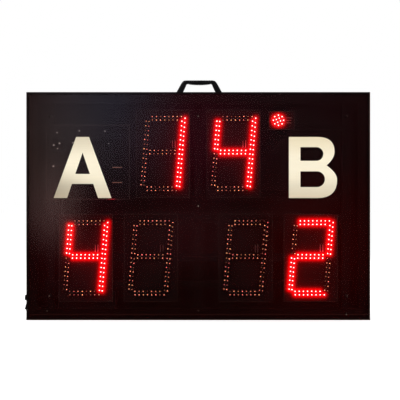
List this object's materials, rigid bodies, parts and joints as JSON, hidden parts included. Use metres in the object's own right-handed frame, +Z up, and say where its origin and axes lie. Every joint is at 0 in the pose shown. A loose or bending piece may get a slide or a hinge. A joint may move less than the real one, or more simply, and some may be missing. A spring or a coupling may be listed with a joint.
{
  "type": "electronic scoreboard",
  "caption": "Flat boxed electronic scoreboard: seven-segment diode digits behind a smoked panel, team letters on it, a carrying handle on top, a rocker switch and a capped charge socket.",
  "frame": {"origin": "middle of the case's bottom face, on the surface that it stands on", "axes": "+Z up, -Y out of the display side, +X to the right as the display is read"},
  "size_m": [0.9062, 0.08, 0.6308],
  "materials": {
    "frame_black": "black anodised extrusion, satin",
    "inner_black": "black anodised sheet and channel, matt",
    "rear_black": "black powder-coated sheet",
    "screw_black": "black-oxide steel",
    "letter_film": "cream metallic film, satin",
    "smoked_panel": "dark red-brown transparent acrylic sheet, glossy",
    "black_plastic": "black moulded plastic",
    "rubber_black": "black soft rubber",
    "board_black": "black circuit board with its components",
    "battery_black": "shrink-wrapped battery pack",
    "ribbon_black": "black flat cable",
    "lead_black": "black insulated lead"
  },
  "bodies": {
    "case": {"frame_top": "frame_black", "frame_bottom": "frame_black", "frame_left": "frame_black", "frame_right": "frame_black", "corner_key_top_left": "inner_black", "corner_key_top_right": "inner_black", "corner_key_bottom_left": "inner_black", "corner_key_bottom_right": "inner_black", "front_panel": "smoked_panel", "rear_cover": "rear_black", "letter_a": "letter_film", "letter_b": "letter_film", "panel_screw_top_left": "screw_black", "panel_screw_top_centre": "screw_black", "panel_screw_top_right": "screw_black", "panel_screw_centre": "screw_black", "panel_screw_bottom_left": "screw_black", "panel_screw_bottom_right": "screw_black", "lower_screw_left": "screw_black", "rear_screw_top_left": "screw_black", "rear_screw_bottom_left": "screw_black", "strut_left": "inner_black", "lower_screw_centre": "screw_black", "rear_screw_top_centre": "screw_black", "rear_screw_bottom_centre": "screw_black", "strut_centre": "inner_black", "lower_screw_right": "screw_black", "rear_screw_top_right": "screw_black", "rear_screw_bottom_right": "screw_black", "strut_right": "inner_black", "rail_top": "inner_black", "rail_upper": "inner_black", "rail_lower": "inner_black", "rail_bottom": "inner_black", "digit_board_top_left": "board_black", "digit_board_top_right": "board_black", "digit_board_bottom_first": "board_black", "digit_board_bottom_second": "board_black", "digit_board_bottom_third": "board_black", "digit_board_bottom_fourth": "board_black", "indicator_board": "board_black", "controller_board": "board_black", "battery_pack": "battery_black", "battery_strap": "inner_black", "buzzer": "black_plastic", "handle": "black_plastic", "handle_screw_left": "screw_black", "handle_screw_right": "screw_black", "switch_housing": "black_plastic", "charge_socket": "black_plastic", "socket_nut": "screw_black", "ribbon_top": "ribbon_black", "ribbon_bottom": "ribbon_black", "charge_lead": "lead_black", "switch_lead": "lead_black", "supply_lead": "lead_black"},
    "rocker": {"switch_rocker": "black_plastic"},
    "cap": {"socket_cap": "rubber_black"}
  },
  "joints": [
    {"name": "power_rocker_tilt", "type": "hinge", "parent": "case", "child": "rocker", "pos_m": [-0.45, -0.024, 0.0332], "axis": [0, -1, 0], "range_deg": [0, 26]},
    {"name": "socket_cap_pull", "type": "slide", "parent": "case", "child": "cap", "axis": [-1, 0, 0], "range_m": [0, 0.02]}
  ]
}
